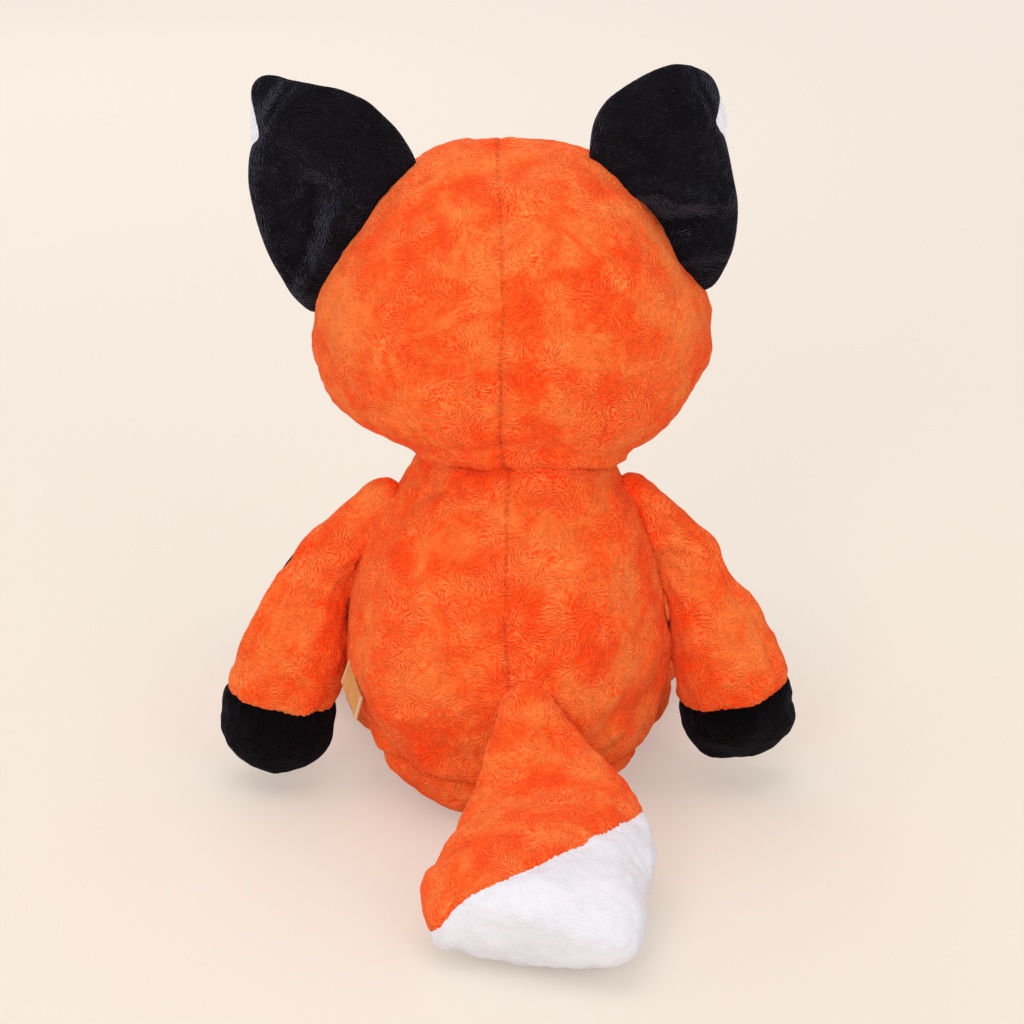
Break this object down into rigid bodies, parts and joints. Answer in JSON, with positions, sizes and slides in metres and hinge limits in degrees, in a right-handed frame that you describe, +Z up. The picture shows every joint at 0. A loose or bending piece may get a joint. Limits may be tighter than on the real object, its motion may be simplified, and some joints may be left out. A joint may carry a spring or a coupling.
{
  "type": "plush fox",
  "caption": "Sitting plush fox with a turning head, bending ears, and arms, legs and a tail that lift, sewn from short-pile fabric over soft stuffing.",
  "frame": {"origin": "middle of the flat place that the fox sits on", "axes": "+Z up, the fox faces -Y, +X towards the fox's own left side"},
  "size_m": [0.2723, 0.4163, 0.3397],
  "materials": {
    "orange_pile": "short orange plush pile, matt with a soft sheen",
    "white_pile": "short white plush pile, matt",
    "black_pile": "short black plush pile, matt with a faint sheen",
    "stuffing": "loose white fibre filling",
    "pellet_cloth": "plain woven bag of small pellets",
    "black_plastic": "glossy black",
    "washer_plastic": "plain white, moulded",
    "woven_label": "smooth woven ribbon, bare"
  },
  "bodies": {
    "torso": {"back_panel_left": "orange_pile", "back_panel_right": "orange_pile", "belly_panel": "white_pile", "seat_panel": "orange_pile", "body_filling": "stuffing", "pellet_bag": "pellet_cloth", "side_label": "woven_label"},
    "head": {"head_panel_left": "orange_pile", "head_panel_right": "orange_pile", "cheek_left": "white_pile", "cheek_right": "white_pile", "muzzle": "white_pile", "muzzle_filling": "stuffing", "nose": "black_plastic", "nose_washer": "washer_plastic", "eye_left": "black_plastic", "eye_washer_left": "washer_plastic", "eye_right": "black_plastic", "eye_washer_right": "washer_plastic", "head_filling": "stuffing"},
    "left_ear": {"ear_front_left": "white_pile", "ear_back_left": "black_pile"},
    "right_ear": {"ear_front_right": "white_pile", "ear_back_right": "black_pile"},
    "left_arm": {"arm_left": "orange_pile", "paw_left": "black_pile", "arm_filling_left": "stuffing"},
    "right_arm": {"arm_right": "orange_pile", "paw_right": "black_pile", "arm_filling_right": "stuffing"},
    "left_leg": {"leg_left": "orange_pile", "foot_left": "black_pile", "leg_filling_left": "stuffing"},
    "right_leg": {"leg_right": "orange_pile", "foot_right": "black_pile", "leg_filling_right": "stuffing"},
    "brush": {"tail": "orange_pile", "tail_tip": "white_pile", "tail_filling": "stuffing"}
  },
  "joints": [
    {"name": "head_turn", "type": "hinge", "parent": "torso", "child": "head", "pos_m": [-0.003, 0, 0.163], "axis": [0, -0.2756, 0.9613], "range_deg": [-30, 30], "stiffness_Nm_per_rad": 1},
    {"name": "ear_left_bend", "type": "hinge", "parent": "head", "child": "left_ear", "pos_m": [0.06331, -0.0168, 0.26294], "axis": [0.5736, 0, -0.8192], "range_deg": [-15, 20], "stiffness_Nm_per_rad": 0.08},
    {"name": "ear_right_bend", "type": "hinge", "parent": "head", "child": "right_ear", "pos_m": [-0.06648, -0.01, 0.26774], "axis": [0.682, 0, 0.7314], "range_deg": [-15, 20], "stiffness_Nm_per_rad": 0.08},
    {"name": "arm_left_lift", "type": "hinge", "parent": "torso", "child": "left_arm", "pos_m": [0.05671, 0, 0.145], "axis": [-0.6444, -0.7184, -0.2621], "range_deg": [0, 65], "stiffness_Nm_per_rad": 0.4},
    {"name": "arm_right_lift", "type": "hinge", "parent": "torso", "child": "right_arm", "pos_m": [-0.05922, 0, 0.145], "axis": [-0.6444, 0.7184, 0.2621], "range_deg": [0, 65], "stiffness_Nm_per_rad": 0.4},
    {"name": "leg_left_lift", "type": "hinge", "parent": "torso", "child": "left_leg", "pos_m": [0.05131, -0.05043, 0.0312], "axis": [-0.9511, -0.309, 0], "range_deg": [-10, 30], "stiffness_Nm_per_rad": 0.8},
    {"name": "leg_right_lift", "type": "hinge", "parent": "torso", "child": "right_leg", "pos_m": [-0.05109, -0.05044, 0.0312], "axis": [-0.9744, 0.225, 0], "range_deg": [-10, 30], "stiffness_Nm_per_rad": 0.8},
    {"name": "tail_lift", "type": "hinge", "parent": "torso", "child": "brush", "pos_m": [-0.00892, 0.06644, 0.072], "axis": [1, 0, 0], "range_deg": [0, 55], "stiffness_Nm_per_rad": 0.4}
  ]
}
